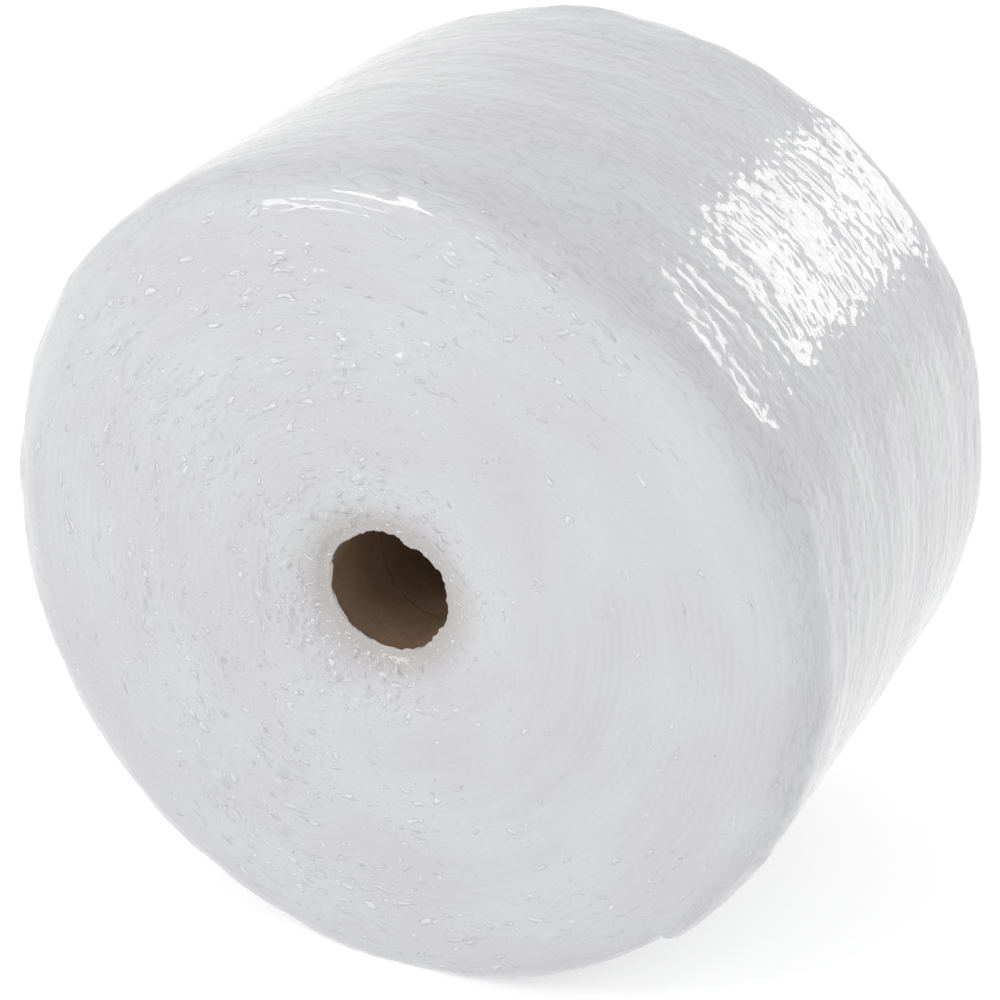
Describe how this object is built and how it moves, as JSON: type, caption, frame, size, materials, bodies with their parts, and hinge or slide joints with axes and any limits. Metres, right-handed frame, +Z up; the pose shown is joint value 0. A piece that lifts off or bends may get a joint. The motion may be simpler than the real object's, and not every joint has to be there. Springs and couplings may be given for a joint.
{
  "type": "bubble wrap roll",
  "caption": "Roll of small-bubble cushioning film wound on a cardboard core, lying on its side on a small flat spot.",
  "frame": {"origin": "on the floor, under the middle of the roll", "axes": "+Y along the roll's axis, away from the end that faces the viewer; +Z up; +X across the roll, to the right of a viewer who looks along +Y"},
  "size_m": [0.5016, 0.305, 0.4946],
  "materials": {
    "film": "clear polythene bubble film, many turns deep, so milky white with a soft gloss",
    "core_board": "plain brown spiral-wound board, matt"
  },
  "bodies": {
    "root": {"bubble_film": "film", "core": "core_board"}
  },
  "joints": []
}
